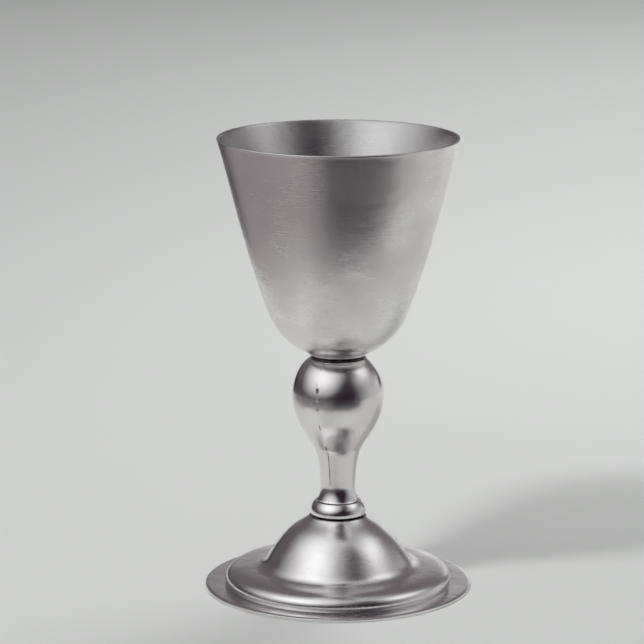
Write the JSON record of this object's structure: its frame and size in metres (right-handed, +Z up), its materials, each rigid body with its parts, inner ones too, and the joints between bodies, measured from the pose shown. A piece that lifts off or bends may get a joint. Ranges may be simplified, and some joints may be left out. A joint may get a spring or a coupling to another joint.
{
  "type": "communion chalice",
  "caption": "Pewter communion chalice: tapered bowl on a hollow baluster stem with a rounded knop, ring moulding and domed foot with a flat brim.",
  "frame": {"origin": "centre of the foot's underside, on the surface that the chalice stands on", "axes": "+Z up along the chalice's turned axis, -Y towards the viewer's front, +X to the viewer's right"},
  "size_m": [0.1268, 0.1268, 0.216],
  "materials": {
    "satin_pewter": "satin pewter, finely brushed, worn with fine scratches",
    "bright_pewter": "burnished pewter, soft mirror with handling marks",
    "foot_pewter": "turned and burnished pewter with concentric tool marks",
    "solder": "dull grey soft solder, darkened"
  },
  "bodies": {
    "root": {"bowl": "satin_pewter", "bowl_collar": "bright_pewter", "collar_solder": "solder", "stem_half_left": "bright_pewter", "stem_half_right": "bright_pewter", "seam_solder_front": "solder", "seam_solder_back": "solder", "stem_ring": "bright_pewter", "ring_solder": "solder", "stem_plug": "foot_pewter", "plug_solder": "solder", "foot_dome": "foot_pewter", "foot_brim": "foot_pewter", "brim_solder": "solder"}
  },
  "joints": []
}
